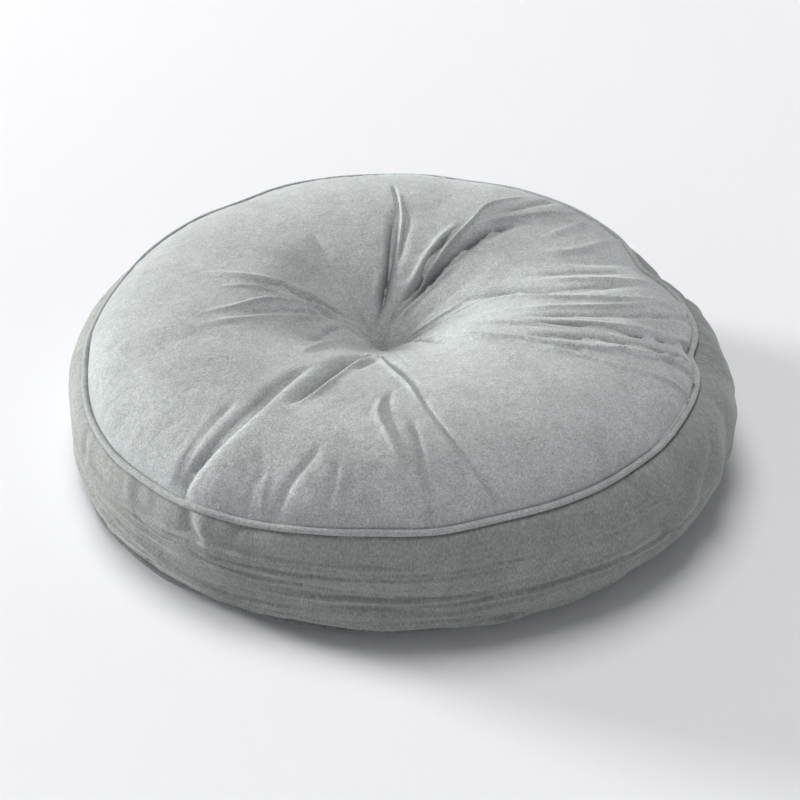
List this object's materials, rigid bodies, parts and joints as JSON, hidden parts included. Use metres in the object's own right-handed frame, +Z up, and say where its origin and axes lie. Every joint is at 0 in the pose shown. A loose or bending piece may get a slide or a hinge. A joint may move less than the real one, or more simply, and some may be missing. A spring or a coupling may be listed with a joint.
{
  "type": "floor cushion",
  "caption": "Round boxed floor cushion in grey-green velvet with piped seams, a stitched tuft in the middle and a zip hidden in the back of its band.",
  "frame": {"origin": "middle of the footprint, on the floor that the cushion rests on", "axes": "+Z up through the tuft; -Y towards the front, opposite the middle of the zip; +X to the right"},
  "size_m": [0.62, 0.6199, 0.1568],
  "materials": {
    "velvet": "matt cotton velvet, grey-green, with a soft sheen at grazing angles",
    "piping_velvet": "the same velvet cut on the bias round a cord",
    "piping_cord": "twisted cotton cord",
    "zip_tape": "woven polyester tape in the cover's colour",
    "zip_coil": "nylon coil in the cover's colour",
    "zip_metal": "nickel-plated zinc, satin",
    "thread": "twisted polyester thread, a little paler than the velvet",
    "lining": "plain undyed cotton",
    "fibre_filling": "loose polyester fibre",
    "label_satin": "blank white satin ribbon"
  },
  "bodies": {
    "root": {"top_panel": "velvet", "bottom_panel": "velvet", "side_band": "velvet", "zip_strip_upper": "velvet", "zip_strip_lower": "velvet", "top_piping_cover": "piping_velvet", "bottom_piping_cover": "piping_velvet", "top_piping_cord": "piping_cord", "bottom_piping_cord": "piping_cord", "zip_tape_upper": "zip_tape", "zip_tape_lower": "zip_tape", "zip_coil_upper": "zip_coil", "zip_coil_lower": "zip_coil", "zip_top_stops": "zip_metal", "zip_bottom_stop": "zip_metal", "zip_stitch_upper": "thread", "zip_stitch_lower": "thread", "inner_case_top": "lining", "inner_case_band": "lining", "inner_case_bottom": "lining", "filling": "fibre_filling", "tuft_cord": "thread", "tuft_knot": "thread", "care_label": "label_satin"},
    "zip_slider": {"zip_slider": "zip_metal"},
    "zip_pull": {"zip_pull": "zip_metal"}
  },
  "joints": [
    {"name": "zip_travel", "type": "hinge", "parent": "root", "child": "zip_slider", "pos_m": [0, 0, 0.059], "axis": [0, 0, 1], "range_deg": [0, 124]},
    {"name": "zip_pull_tilt", "type": "hinge", "parent": "zip_slider", "child": "zip_pull", "pos_m": [0.27621, 0.14074, 0.059], "axis": [0, 0, -1], "range_deg": [0, 175]}
  ]
}
